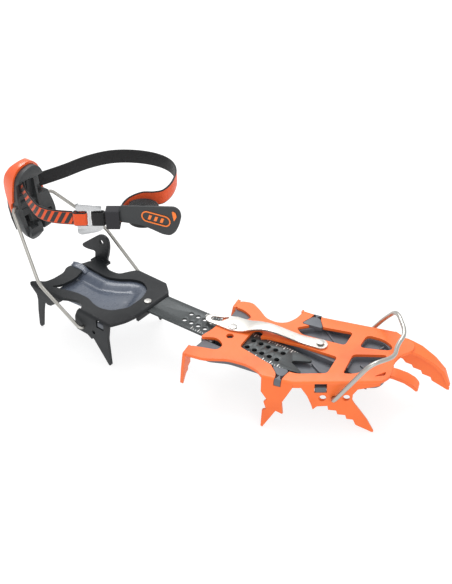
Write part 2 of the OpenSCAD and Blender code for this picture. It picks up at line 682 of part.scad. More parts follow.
module heel_clip() {
    color(dish) translate([-22.2, heel_tooth_y[0] + 0.5, heel_top - 8.8])
        cube([7.6, plate_t + 3, 4.8]);
}

// ---- heel bail -----------------------------------------------------------

heel_near_y = -52.6;
heel_far_y = 31;

module heel_bail() {
    r = heel_wire_d / 2;
    x = heel_pin[0];
    z = heel_pin[1];
    near = soft_path([
        [x, -45, z], [x, heel_near_y, z], [-85, -52.4, 54.5],
        [crossbar[0], crossbar_near, crossbar[1]], [crossbar[0], crossbar_near + 8, crossbar[1]]], 5);
    far = soft_path([
        [crossbar[0], crossbar_far - 8, crossbar[1]], [crossbar[0], crossbar_far, crossbar[1]],
        [-86.5, 31, 69], [x, heel_far_y, z], [x, 23, z]], 5);
    color(steel) {
        rod([x, heel_near_y + 3, z], [x, -44.4, z], r);
        rod([x, 22, z], [x, heel_far_y - 3, z], r);
        rod([crossbar[0], crossbar_near + 3, crossbar[1]], [crossbar[0], crossbar_far - 3, crossbar[1]], r);
        bent_wire(near, r - eps, [0.68, 0, 0.73]);
        bent_wire(far, r - eps, [0.68, 0, 0.73]);
    }
}

// ---- heel lever ----------------------------------------------------------

lever_y = [-38, -2];
// Back of the lever's body and of its cover, from the top down
shell_outer = [
    [1, 38], [-1.4, 30], [-2.4, 20], [-3, 10], [-3.2, 0], [-1.4, -10], [2, -20], [6, -29]];
cover_outer = [[-3, 39], [-6.6, 34], [-9, 26], [-9.6, 18], [-8.8, 9], [-6.8, 0], [-4.6, -7]];
shell_t = 4;
// Outlines of the cover and of the body seen from the front, as Y and height above the crossbar
cover_front = [
    [-38, -12], [-38, 22], [-36.5, 29], [-31.5, 34.8], [-22, 37.4], [-15, 37], [-9.6, 31.4],
    [-6.8, 24], [-5.4, 16], [-2.8, 5], [-2, -5], [-3, -12]];
body_front = [
    [-38, -14], [-38, -7], [-36.2, -3], [-36.2, 21.6], [-34.8, 28], [-30.6, 32.6], [-22, 35],
    [-15.6, 34.6], [-11.2, 30], [-8.6, 23.2], [-7.2, 15.6], [-4.6, 5], [-2, -6], [-3.4, -14],
    [-8.6, -24], [-20, -25], [-24.6, -30.6], [-31, -30.6], [-35.6, -26]];

// A slab across the lever, from y0 to y1, with its outline given beside the crossbar
module lever_slab(p, y0, y1) {
    translate([crossbar[0], y1, crossbar[1]]) rotate([90, 0, 0]) linear_extrude(y1 - y0) polygon(p);
}

// What lies inside an outline seen from the front, made smaller by inset
module in_front_outline(outline, inset) {
    c = [-20, 4];
    intersection() {
        children();
        translate([crossbar[0] - 30, 0, crossbar[1]]) rotate([90, 0, 90]) linear_extrude(60)
            polygon(soften([for (p = outline) c + (p - c) * (1 - inset / norm(p - c))], 5));
    }
}

hinge_r = 4.4;

module hinge_boss(r) {
    translate([crossbar[0], lever_y[0], crossbar[1]]) rotate([-90, 0, 0])
        cylinder(h = lever_y[1] - lever_y[0], r = r);
}

module far_mouth() {
    translate([crossbar[0] - 2.4, lever_y[1] - 10, crossbar[1] + 6])
        cube([9, 14, strap_w + 5.4]);
}

module lever_body() {
    outer = spline(shell_outer, 4);
    n = len(outer) - 1;
    inner = [for (i = [n:-1:0]) outer[i] + [shell_t, 0]];
    near_cheek = [
        [1.4, 36], [4.6, 34], [4.4, 24], [3, 8], [5, -4], [8.5, -14], [9.5, -24], [7, -29],
        [0.4, -12], [-2, 0], [-1.8, 10], [-1.2, 20]];
    far_cheek = [
        [1.4, 36], [4.6, 34], [4.4, 20], [6, 6], [8, -5], [12, -14], [11.5, -24], [7, -29],
        [0.4, -12], [-2, 0], [-1.8, 10], [-1.2, 20]];
    block = [[1.6, 38], [5.4, 38], [8.4, 33], [7.6, 24.4], [4, 22], [0, 22]];
    foot = [[5, -18], [11, -16], [13, -24], [10, -31], [8, -31]];
    r = heel_wire_d / 2 + bail_clear;
    color(plastic) difference() {
        in_front_outline(body_front, 0) union() {
            lever_slab(concat(outer, inner), lever_y[0], lever_y[1]);
            lever_slab(soften(near_cheek, 3), lever_y[0], lever_y[0] + 4.4);
            lever_slab(soften(far_cheek, 3), -17.5, lever_y[1]);
            lever_slab(soften(block, 2), lever_y[0], lever_y[1]);
            lever_slab(soften(foot, 2), -34, -20.5);
            hinge_boss(hinge_r);
        }
        translate([crossbar[0], -60, crossbar[1]]) rotate([-90, 0, 0]) cylinder(h = 80, r = r);
        // Slots in the raised side and in the lower part of the shell
        for (y = [-15.5, -9.8])
            translate([crossbar[0] + 1, y, crossbar[1] + 6.5]) cube([20, 4.4, 8]);
        translate([crossbar[0] - 20, -15.5, crossbar[1] - 17]) cube([40, 9, 8.4]);
        translate([crossbar[0] - 20, -32.5, crossbar[1] - 19]) cube([40, 8, 9]);
        far_mouth();
        // Mouth for the near strap end
        translate([crossbar[0] + 0.4, -32, crossbar[1] + 9]) cube([14, 9, strap_w + 3]);
    }
}

module lever_cover() {
    gap = 0.05;
    shell = spline(shell_outer, 4);
    back = spline(cover_outer, 4);
    side = [[-2.6, -6], [-2.2, 2], [-0.8, 11], [1.2, 20], [2.6, 30], [2.6, 39]];
    color(orange) difference() {
        in_front_outline(cover_front, 0) lever_slab(concat(back, side), lever_y[0], lever_y[1]);
        in_front_outline(body_front, -gap)
            lever_slab(concat([for (p = shell) p - [gap, 0]], [[20, -29], [20, 38]]),
                       lever_y[0] - 1, lever_y[1] + 1);
        hinge_boss(hinge_r + gap);
        far_mouth();
    }
}

module lever_handle() {
    color(black) lever_slab(soften([
        [-8.95, 8.6], [-11, 9.4], [-11.4, -4], [-9.4, -14], [-5, -24], [-3.6, -23.4],
        [-7.8, -13], [-9, -4], [-7.95, 3.4]], 0.8), -36, -6);
}

// ---- strap ---------------------------------------------------------------

far_route = [
    [-121.5, -8, 123], [-118.6, 0, 123.4], [-112.5, 14, 125], [-105, 34, 127.4],
    [-95, 53, 128], [-80, 67, 127.6],
    [-62, 75, 127], [-45, 75, 126.4], [-31, 66.5, 125.4], [-21.5, 51, 124], [-19.5, 38, 122.4],
    [-24.6, 32, 121], [-34.6, 27.6, 119], [-39.8, 18.4, 117], [-39.2, 9, 115.4],
    [-35, 2, strap_z], [-38.6, -3.4, strap_z], [-42.4, -7, strap_z]];
near_route = [
    [-63.4, -25.2, strap_z], [-73, -31, strap_z], [-82.3, -34.9, strap_z],
    [-91.7, -36.1, strap_z + 0.4], [-100.2, -34.7, strap_z + 2.2], [-110.4, -31.6, strap_z + 6],
    [-117.4, -28.7, strap_z + 9.4], [-120.3, -28, strap_z + 10.6]];

module strap_far() {
    color(black) ribbon(spline(far_route, 3), strap_w, strap_t);
}

module strap_near() {
    color(orange) ribbon(spline(near_route, 4), strap_w, strap_t);
}

module strap_roll() {
    color(black) translate([roll_at[0], roll_at[1], roll_z]) difference() {
        cylinder(h = strap_w, r = roll_r);
        translate([0, 0, -1]) cylinder(h = strap_w + 2, r = 2.6);
    }
}

module on_buckle() {
    translate([buckle_at[0], buckle_at[1], strap_z]) rotate(buckle_angle) children();
}

module strap_keeper() {
    half_in = strap_w / 2 + 0.3;
    half_out = half_in + 1.8;
    color(black) on_buckle() translate([13.8, 0, 0]) rotate([90, 0, 90]) linear_extrude(11)
        difference() {
            polygon(soften([[-5, -half_out], [6.6, -half_out], [6.6, half_out], [-5, half_out]], 2));
            polygon(soften([[-3.6, -half_in], [5.2, -half_in], [5.2, half_in], [-3.6, half_in]], 1));
        }
}

tab_from = [-31.4, -3.5];
tab_angle = 20.3;
tab_z = 120.5;
tab_outline = [
    [0.1, 7.4], [12, 9.2], [25, 11.4], [40, 13.6], [48, 14.9], [52.2, 12.4], [53.5, 7],
    [51.5, -1], [48.5, -8], [43.6, -12.4], [37, -12.3], [28.4, -9.5], [20, -7.4], [12, -7.1],
    [0.1, -7.6]];

module on_tab() {
    translate([tab_from[0], tab_from[1], tab_z]) rotate(tab_angle) rotate([90, 0, 0]) children();
}

module strap_tab() {
    color(plastic) {
        on_tab() translate([0, 0, -0.7]) linear_extrude(1.4) polygon(soften(tab_outline, 2.4));
        // The end that the keeper holds
        on_buckle() translate([14, -2.9, tab_z - strap_z - 8.4]) cube([11.4, 1.4, 9.1]);
    }
}

badge_from = [24.6, 2.2];
badge_len = 15;

module tab_badge() {
    color(orange) on_tab() translate([0, 0, 0.72]) linear_extrude(0.7) {
        translate(badge_from) rotate(-6.5) {
            difference() {
                badge_oval(5);
                badge_oval(3.9);
            }
            for (x = [1.5, 6.7, 11.9]) polygon([
                [x - 1, -2.2], [x + 1.4, -2.2], [x + 2.6, 2.2], [x + 0.2, 2.2]]);
        }
        polygon(soften([[45.8, 10.8], [48.8, 10.2], [50, 6.4], [47.4, 1.6], [46.6, 6]], 1.2));
    }
}

// An oval with straight sides and ends of radius r
module badge_oval(r) {
    translate([0, -r]) square([badge_len, 2 * r]);
    circle(r = r);
    translate([badge_len, 0]) circle(r = r);
}

module buckle_frame() {
    half_l = 10.4;
    half_h = 9.8;
    bar = 2.2;
    color(chrome) on_buckle() {
        difference() {
            translate([-half_l, -0.9, -half_h]) cube([2 * half_l, 1.8, 2 * half_h]);
            translate([-half_l + bar, -2, -half_h + 2.9]) cube([half_l - 1.5 * bar, 4, 2 * half_h - 5.8]);
            translate([bar / 2, -2, -half_h + 2.9]) cube([half_l - 1.5 * bar, 4, 2 * half_h - 5.8]);
        }
        // Ears, turned out so that a thumb can tip the buckle
        for (s = [-1, 1]) translate([0, 0, s * half_h]) rotate([s * 26, 0, 0])
            translate([0, 0.9, 0]) rotate([90, 0, 0]) linear_extrude(1.8)
                polygon(soften([[-half_l, -s * 1.2], [-half_l, s * 3.6], [-half_l + 3, s * 5.4],
                                [half_l - 5, s * 3.2], [half_l, s * 1], [half_l, -s * 1.2]], 2));
    }
}

loop_end = 13.2;
loop_gap = 1.6;

// A loop of webbing around one of the buckle's bars
module webbing_loop(x0, x1) {
    gap = 1.25;
    h = strap_w - 0.6;
    translate([0, 0, -h / 2]) linear_extrude(h) difference() {
        polygon(soften([[x0, -gap - strap_t], [x1, -gap - strap_t], [x1, gap + strap_t],
                        [x0, gap + strap_t]], 3));
        polygon(soften([[x0 + strap_t, -gap], [x1 - strap_t, -gap], [x1 - strap_t, gap],
                        [x0 + strap_t, gap]], 1));
    }
}

module buckle_loop_rear() {
    color(orange) on_buckle() webbing_loop(-loop_end, -loop_gap);
}

module buckle_loop_front() {
    color(black) on_buckle() webbing_loop(loop_gap, loop_end);
}

// ---- the whole crampon ---------------------------------------------------

module placed() {
    translate([-box_mid[0], -box_mid[1], 0]) children();
}

placed() front_frame();
placed() front_snow_plate();
placed() bar_guide();
placed() guide_rivets();
placed() lever_rivet();
placed() plate_clips();
placed() lock_lever();
placed() lock_pin();
placed() toe_bail();
placed() link_bar();
placed() heel_frame();
placed() heel_snow_plate();
placed() bar_rivet();
placed() heel_clip();
placed() heel_bail();
placed() lever_body();
placed() lever_cover();
placed() lever_handle();
placed() strap_far();
placed() strap_near();
placed() strap_roll();
placed() strap_keeper();
placed() strap_tab();
placed() tab_badge();
placed() buckle_frame();
placed() buckle_loop_rear();
placed() buckle_loop_front();
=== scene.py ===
"""Looks for the crampon: fine wire, webbing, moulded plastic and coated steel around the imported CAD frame.

Places are in millimetres in the heel section's axes: the origin is on the ground under the heel plate's
front edge, X runs to the toe and Y to the inner side. heel() and front() turn them into the row frame.
"""

import json
import math

import bpy
from mathutils import Matrix, Vector


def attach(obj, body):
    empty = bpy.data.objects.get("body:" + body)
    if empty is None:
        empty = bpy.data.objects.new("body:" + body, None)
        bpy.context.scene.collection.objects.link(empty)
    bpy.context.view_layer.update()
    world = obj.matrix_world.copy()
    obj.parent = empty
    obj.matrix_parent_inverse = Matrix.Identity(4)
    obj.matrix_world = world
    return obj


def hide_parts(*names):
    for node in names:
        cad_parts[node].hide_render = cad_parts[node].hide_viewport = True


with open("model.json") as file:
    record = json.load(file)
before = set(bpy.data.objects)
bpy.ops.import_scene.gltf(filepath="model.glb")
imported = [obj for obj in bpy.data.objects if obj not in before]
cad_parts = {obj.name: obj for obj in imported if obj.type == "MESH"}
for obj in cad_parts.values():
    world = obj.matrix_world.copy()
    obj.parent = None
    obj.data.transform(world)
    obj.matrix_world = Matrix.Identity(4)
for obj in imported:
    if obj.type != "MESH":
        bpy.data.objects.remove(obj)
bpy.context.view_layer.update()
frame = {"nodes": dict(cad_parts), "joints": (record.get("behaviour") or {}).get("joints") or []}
NODES = frame["nodes"]
JOINTS = {j["name"]: j for j in frame["joints"]}
MM = 0.001

# ---- places, as in the CAD source ----------------------------------------------------------------------

HEEL_PIN = (-38.5, 0.0, 28.6)
TOE_PIN_Z = 31.5
TOE_OUT = math.radians(13.8)
FRONT_AT = (167.8, 38.5)
BAR_START = (-14.0, 0.3)
BAR_ANGLE = math.radians(3.2)
CROSSBAR = (-121.0, 108.5)
STRAP_Z = 114.8
STRAP_W = 12.8
STRAP_T = 1.6
BUCKLE_AT = (-52.5, -17.2)
BUCKLE_ANGLE = math.radians(38)
ROLL_AT = (-23.5, 15.6)
ROLL_R = 14.1
ROLL_Z = 108.0

hinge_at = JOINTS["heel_bail_hinge"]["pos_m"]
ORIGIN = Vector((hinge_at[0] / MM - HEEL_PIN[0], hinge_at[1] / MM - HEEL_PIN[1], 0))


def heel(x, y, z):
    """A place in the heel section's axes, in millimetres from the row frame's origin."""
    return Vector((x, y, z)) + ORIGIN


def front(x, y, z):
    """A place in the front section's own axes, in millimetres from the row frame's origin."""
    c, s = math.cos(TOE_OUT), math.sin(TOE_OUT)
    return heel(FRONT_AT[0] + x * c - y * s, FRONT_AT[1] + x * s + y * c, z)


def turned(at, angle, along, across, z):
    """A place given along and across a line through at, in the heel section's axes."""
    c, s = math.cos(angle), math.sin(angle)
    return heel(at[0] + along * c - across * s, at[1] + along * s + across * c, z)


# ---- paths ---------------------------------------------------------------------------------------------


def soft_path(points, radius, steps=10):
    """An open path with its inner corners rounded, as the CAD source rounds them."""
    made = [points[0]]
    for a, p, b in zip(points, points[1:], points[2:]):
        da = min(radius, 0.45 * (a - p).length)
        db = min(radius, 0.45 * (b - p).length)
        start = p + (a - p).normalized() * da
        end = p + (b - p).normalized() * db
        for i in range(steps + 1):
            u = i / steps
            made.append(start * (1 - u) ** 2 + p * 2 * u * (1 - u) + end * u * u)
    return made + [points[-1]]


def spline(points, steps):
    """A smooth curve through points."""
    last = len(points) - 1
    made = []
    for i in range(last):
        a, b = points[max(i - 1, 0)], points[i]
        c, d = points[i + 1], points[min(i + 2, last)]
        for k in range(steps):
            u = k / steps
            made.append(
                (b * 2 + (c - a) * u + (a * 2 - b * 5 + c * 4 - d) * u**2 + (b * 3 - a - c * 3 + d) * u**3) / 2
            )
    return made + [points[-1]]


def rounded_box(half_x, half_y, radius, steps=3):
    """Points round a rectangle with rounded corners."""
    made = []
    for quarter, (sx, sy) in enumerate(((1, 1), (-1, 1), (-1, -1), (1, -1))):
        x, y = sx * (half_x - radius), sy * (half_y - radius)
        for i in range(steps + 1):
            angle = math.pi / 2 * (quarter + i / steps)
            made.append((x + radius * math.cos(angle), y + radius * math.sin(angle)))
    return made


def circle(radius, sides):
    """Points round a circle."""
    made = []
    for k in range(sides):
        angle = 2 * math.pi * k / sides
        made.append((radius * math.cos(angle), radius * math.sin(angle)))
    return made


# ---- mesh makers ---------------------------------------------------------------------------------------


def piece(name, verts, faces, body, slot, materials, stands_for=(), uvs=None, kinds=None):
    """A mesh from points in millimetres that rides on a CAD body."""
    mesh = bpy.data.meshes.new(name)
    mesh.from_pydata([tuple(Vector(v) * MM) for v in verts], [], faces)
    for m in materials:
        mesh.materials.append(m)
    if kinds:
        mesh.polygons.foreach_set("material_index", kinds)
    if uvs:
        layer = mesh.uv_layers.new(name="UVMap")
        for loop in mesh.loops:
            layer.data[loop.index].uv = uvs[loop.vertex_index]
    mesh.update()
    obj = bpy.data.objects.new(name, mesh)
    bpy.context.scene.collection.objects.link(obj)
    mesh.polygons.foreach_set("use_smooth", [True] * len(mesh.polygons))
    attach(obj, body)
    if stands_for:
        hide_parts(*stands_for)
    return obj


def sweep(path, section, up=None, closed=False, kind_of=None):
    """Points, faces, UVs and face kinds of section carried along path. A section point is (side, up).
    up is one direction, or None for a wire that doesn't twist."""
    count, sides = len(path), len(section)
    verts, uvs, faces, kinds = [], [], [], []
    length, side = 0.0, None
    for i, p in enumerate(path):
        before = path[i - 1] if i or closed else p
        after = path[(i + 1) % count] if i < count - 1 or closed else p
        ahead = (after - before).normalized()
        if i:
            length += (p - path[i - 1]).length
        if up is None:
            guess = side or ahead.orthogonal()
            side = (guess - ahead * guess.dot(ahead)).normalized()
            lift = ahead.cross(side)
        else:
            side = up.cross(ahead).normalized()
            lift = ahead.cross(side).normalized()
        for a, b in section:
            verts.append(p + side * a + lift * b)
            uvs.append((b * MM, length * MM))
    rings = count if closed else count - 1
    for i in range(rings):
        j = (i + 1) % count
        for k in range(sides):
            n = (k + 1) % sides
            faces.append((sides * i + k, sides * i + n, sides * j + n, sides * j + k))
            kinds.append(kind_of(section[k], section[n]) if kind_of else 0)
    if not closed:
        faces.append(tuple(range(sides))[::-1])
        faces.append(tuple(range(sides * (count - 1), sides * count)))
        kinds += [0, 0]
    return verts, faces, uvs, kinds


def wire(name, path, radius, body, slot, material, stands_for):
    """Round wire with softly rounded ends."""
    verts, faces, uvs, kinds = sweep(path, circle(radius, 20))
    obj = piece(name, verts, faces, body, slot, [material], stands_for, uvs, kinds)
    soften_edges(obj, 0.4)


def strap(name, path, width, slot, materials, stands_for, closed=False):
    """Webbing that stands on edge and rides the heel lever. materials are one face, the other and the edges."""

    def kind_of(a, b):
        flat = abs(a[0] - b[0]) < 0.01 and abs(a[0]) > 0.3 * STRAP_T
        if not flat:
            return 2
        return 1 if a[0] > 0 else 0

    section = rounded_box(STRAP_T / 2, width / 2, STRAP_T * 0.42)
    verts, faces, uvs, kinds = sweep(path, section, Vector((0, 0, 1)), closed, kind_of)
    piece(name, verts, faces, "heel_lever", slot, materials, stands_for, uvs, kinds)


def weld_smooth(obj):
    """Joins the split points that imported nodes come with, and shades every face smooth."""
    weld = obj.modifiers.new("weld", "WELD")
    weld.merge_threshold = 1e-6
    for polygon in obj.data.polygons:
        polygon.use_smooth = True


def soften_edges(obj, width, segments=3, edge_material=None):
    """Bevels sharp edges by width millimetres."""
    weld_smooth(obj)
    flatten = obj.modifiers.new("flatten", "DECIMATE")
    flatten.decimate_type = "DISSOLVE"
    flatten.angle_limit = math.radians(0.6)
    bevel = obj.modifiers.new("bevel", "BEVEL")
    bevel.width = width * MM
    bevel.segments = segments
    bevel.limit_method = "ANGLE"
    bevel.angle_limit = math.radians(35)
    bevel.harden_normals = True
    if edge_material is not None:
        bevel.material = edge_material


def crisp(obj, angle=32):
    """Smooth round faces and sharp edges, for folded plate whose edges are rounded in its material."""
    weld_smooth(obj)
    split = obj.modifiers.new("split", "EDGE_SPLIT")
    split.split_angle = math.radians(angle)


# ---- materials -----------------------------------------------------------------------------------------


class Paint:
    """A Principled material that is built up from procedural layers."""

    def __init__(self, name, color, roughness, metallic=0.0, **sockets):
        self.material = bpy.data.materials.new(name)
        self.material.use_nodes = True
        self.tree = self.material.node_tree
        self.shader = self.tree.nodes["Principled BSDF"]
        self.shader.inputs["Base Color"].default_value = (*color, 1)
        self.shader.inputs["Roughness"].default_value = roughness
        self.shader.inputs["Metallic"].default_value = metallic
        for key, value in sockets.items():
            self.shader.inputs[key.replace("_", " ")].default_value = value
        self.color = color

    def node(self, kind, **values):
        made = self.tree.nodes.new(kind)
        for key, value in values.items():
            setattr(made, key, value)
        return made

    def link(self, a, b):
        self.tree.links.new(a, b)

    def place(self, space="Object", scale=(1, 1, 1), rotation=(0, 0, 0)):
        coords = self.node("ShaderNodeTexCoord")
        mapping = self.node("ShaderNodeMapping")
        mapping.inputs["Scale"].default_value = scale
        mapping.inputs["Rotation"].default_value = rotation
        self.link(coords.outputs[space], mapping.inputs["Vector"])
        return mapping.outputs["Vector"]

    def noise(self, at, scale, detail=3.0, roughness=0.5):
        made = self.node("ShaderNodeTexNoise")
        made.inputs["Scale"].default_value = scale
        made.inputs["Detail"].default_value = detail
        made.inputs["Roughness"].default_value = roughness
        self.link(at, made.inputs["Vector"])
        return made.outputs["Fac"]

    def wave(self, at, scale, direction="X"):
        made = self.node("ShaderNodeTexWave", bands_direction=direction)
        made.inputs["Scale"].default_value = scale
        self.link(at, made.inputs["Vector"])
        return made.outputs["Fac"]

    def math(self, operation, a, b=None):
        made = self.node("ShaderNodeMath", operation=operation)
        for i, value in enumerate((a, b)):
            if value is None:
                continue
            if isinstance(value, (int, float)):
                made.inputs[i].default_value = value
            else:
                self.link(value, made.inputs[i])
        return made.outputs[0]

    def ramp(self, fac, low, high):
        """0 at low, 1 at high and level beyond both."""
        made = self.node("ShaderNodeMapRange", interpolation_type="SMOOTHSTEP")
        made.inputs["From Min"].default_value = low
        made.inputs["From Max"].default_value = high
        self.link(fac, made.inputs["Value"])
        return made.outputs["Result"]

    def mix(self, fac, color):
        """Paints color over the base where fac is 1."""
        made = self.node("ShaderNodeMix", data_type="RGBA")
        self.link(fac, made.inputs["Factor"])
        links = self.shader.inputs["Base Color"].links
        if links:
            self.link(links[0].from_socket, made.inputs["A"])
        else:
            made.inputs["A"].default_value = (*self.color, 1)
        made.inputs["B"].default_value = (*color, 1)
        self.link(made.outputs["Result"], self.shader.inputs["Base Color"])

    def rough(self, fac, low, high):
        """Varies the roughness from low to high with fac."""
        made = self.node("ShaderNodeMapRange")
        made.inputs["To Min"].default_value = low
        made.inputs["To Max"].default_value = high
        self.link(fac, made.inputs["Value"])
        self.link(made.outputs["Result"], self.shader.inputs["Roughness"])

    def round_edges(self, radius):
        """Lets light catch the edges as if they were rounded by radius millimetres."""
        made = self.node("ShaderNodeBevel", samples=6)
        made.inputs["Radius"].default_value = radius * MM
        self.link(made.outputs["Normal"], self.shader.inputs["Normal"])

    def bump(self, fac, distance, strength):
        """Raises the surface by up to distance millimetres where fac is 1."""
        made = self.node("ShaderNodeBump")
        made.inputs["Strength"].default_value = strength
        made.inputs["Distance"].default_value = distance * MM
        self.link(fac, made.inputs["Height"])
        links = self.shader.inputs["Normal"].links
        if links:
            self.link(links[0].from_socket, made.inputs["Normal"])
        self.link(made.outputs["Normal"], self.shader.inputs["Normal"])


def coated_steel(name, color, shade, worn, roughness, specular=0.5):
    """Powder coat: a faint orange-peel surface, slow colour drift and small scuffs."""
    p = Paint(name, color, roughness, Specular_IOR_Level=specular)
    p.round_edges(0.45)
    at = p.place()
    p.mix(p.ramp(p.noise(at, 28, 4), 0.42, 0.75), shade)
    p.mix(p.ramp(p.noise(at, 420, 6, 0.7), 0.73, 0.82), worn)
    p.rough(p.noise(at, 160, 3), roughness - 0.07, roughness + 0.12)
    p.bump(p.noise(at, 900, 2), 0.05, 0.35)
    return p.material


def bare_steel(name, color, stretch, roughness, space="Object", rotation=(0, 0, 0)):
    """Steel with fine scratches along one direction."""
    p = Paint(name, color, roughness, metallic=1.0)
    at = p.place(space, stretch, rotation)
    grain = p.noise(at, 900, 5, 0.7)
    p.mix(p.ramp(grain, 0.45, 0.8), tuple(c * 0.72 for c in color))
    p.rough(grain, roughness - 0.08, roughness + 0.2)
    p.bump(grain, 0.03, 0.25)
    return p.material


def moulded(name, color, shade, roughness, texture=0.04, coat=0.0):
    """Moulded plastic with a fine spark-eroded grain."""
    p = Paint(name, color, roughness, Coat_Weight=coat, Coat_Roughness=0.12)
    at = p.place()
    p.mix(p.ramp(p.noise(at, 60, 4), 0.4, 0.8), shade)
    p.rough(p.noise(at, 220, 3), roughness - 0.06, roughness + 0.1)
    p.bump(p.noise(at, 1500, 2), texture, 0.4)
    return p.material


BORDER_FROM = STRAP_W / 2 * MM - 0.0011
BORDER_FULL = STRAP_W / 2 * MM - 0.0007
PANEL_HALF = 0.0052
PANEL_SLANT = 0.55
PANEL_BAR = 0.0031
PANEL_BAR_FROM, PANEL_BAR_FULL = 0.0012, 0.0013


def webbing(name, color, shade, border=None, panel=None):
    """Woven webbing in UV space: U runs across the band and V along it, in metres.
    border is the colour along both edges, and panel the colour of slanted bars between them."""
    p = Paint(name, color, 0.78, Sheen_Weight=0.25, Sheen_Roughness=0.4)
    at = p.place("UV")
    split = p.node("ShaderNodeSeparateXYZ")
    p.link(at, split.inputs[0])
    across, along = split.outputs[0], split.outputs[1]
    ribs = p.wave(p.place("UV", rotation=(0, 0, 0.6)), 380, "X")
    picks = p.wave(at, 330, "Y")
    weave = p.math("MULTIPLY", ribs, picks)
    # Painted shade: the gaps in the weave, where the bump below sinks, are darkened to the shade colour.
    p.mix(p.ramp(weave, 0.5, 0.05), shade)
    p.mix(p.ramp(p.noise(at, 300, 3), 0.5, 0.9), tuple(c * 0.7 for c in color))
    if panel:
        slant = p.math("ADD", along, p.math("MULTIPLY", across, PANEL_SLANT))
        bars = p.math("PINGPONG", slant, PANEL_BAR)
        inside = p.math("LESS_THAN", p.math("ABSOLUTE", across), PANEL_HALF)
        p.mix(p.math("MULTIPLY", p.ramp(bars, PANEL_BAR_FROM, PANEL_BAR_FULL), inside), panel)
    if border:
        p.mix(p.ramp(p.math("ABSOLUTE", across), BORDER_FROM, BORDER_FULL), border)
    p.bump(weave, 0.16, 0.8)
    return p.material


ORANGE = (0.90, 0.165, 0.028)
ORANGE_DEEP = (0.80, 0.125, 0.018)
NEAR_BLACK = (0.014, 0.016, 0.018)

orange_coat = coated_steel("orange_coat", ORANGE, ORANGE_DEEP, (0.92, 0.30, 0.12), 0.40)
black_coat = coated_steel("black_coat", NEAR_BLACK, (0.010, 0.011, 0.013), (0.05, 0.055, 0.06), 0.42, 0.28)
# Bevel colour for the link bar: a touch lighter and shinier than the bar, a painted highlight along its edges,
# with scuffs of real wear on top.
black_edge_painted_highlight_and_wear = coated_steel("black_edge_painted_highlight_and_wear", (0.06, 0.065, 0.07), (0.03, 0.03, 0.032), (0.3, 0.3, 0.3), 0.25)
slate = moulded("slate", (0.110, 0.118, 0.135), (0.085, 0.092, 0.108), 0.46)
dish_blue = moulded("dish_blue", (0.100, 0.118, 0.155), (0.080, 0.096, 0.130), 0.26, 0.015, 0.3)
lever_grey = moulded("lever_grey", (0.040, 0.044, 0.046), (0.030, 0.033, 0.035), 0.42)
handle_black = moulded("handle_black", (0.012, 0.012, 0.014), (0.009, 0.009, 0.010), 0.32)
cover_orange = moulded("cover_orange", (0.86, 0.115, 0.020), (0.80, 0.095, 0.014), 0.22, 0.01, 0.6)
wire_steel = bare_steel("wire_steel", (0.47, 0.46, 0.43), (1, 0.02, 1), 0.30, "UV")
strip_steel = bare_steel("strip_steel", (0.64, 0.62, 0.585), (0.03, 1, 1), 0.42, "Object", (0, 0, -TOE_OUT))
rivet_steel = bare_steel("rivet_steel", (0.52, 0.51, 0.49), (1, 1, 1), 0.34)
chrome = bare_steel("chrome", (0.56, 0.57, 0.58), (0.2, 1, 1), 0.16)
# Bevel colour for the buckle frame: far darker than the chrome, painted shade along its rounded edges.
chrome_edge_painted_shade = bare_steel("chrome_edge_painted_shade", (0.22, 0.225, 0.23), (0.2, 1, 1), 0.2)
# The second colour given to each webbing is painted shade for the gaps in its weave.
black_web = webbing("black_web", (0.013, 0.014, 0.015), (0.006, 0.006, 0.007))
WEB_ORANGE = (0.87, 0.115, 0.024)
# Painted shade colour for the gaps in the orange webbing's weave.
WEB_PAINTED_SHADE = (0.70, 0.075, 0.012)
WEB_BORDER = (0.02, 0.018, 0.02)
orange_web = webbing("orange_web", WEB_ORANGE, WEB_PAINTED_SHADE, WEB_BORDER)
panel_web = webbing("panel_web", WEB_ORANGE, WEB_PAINTED_SHADE, WEB_BORDER, (0.03, 0.028, 0.03))
badge_orange = moulded("badge_orange", (0.93, 0.22, 0.03), (0.88, 0.18, 0.02), 0.34)

MARKS_FROM, MARKS_TO = 0.058, 0.146
MARK_EDGE = 0.0120
FINE_HALF_PITCH, FINE_MARK, FINE_INNER = 0.00115, 0.00088, 0.0108
TALL_HALF_PITCH, TALL_MARK, TALL_INNER = 0.00345, 0.0031, 0.0088


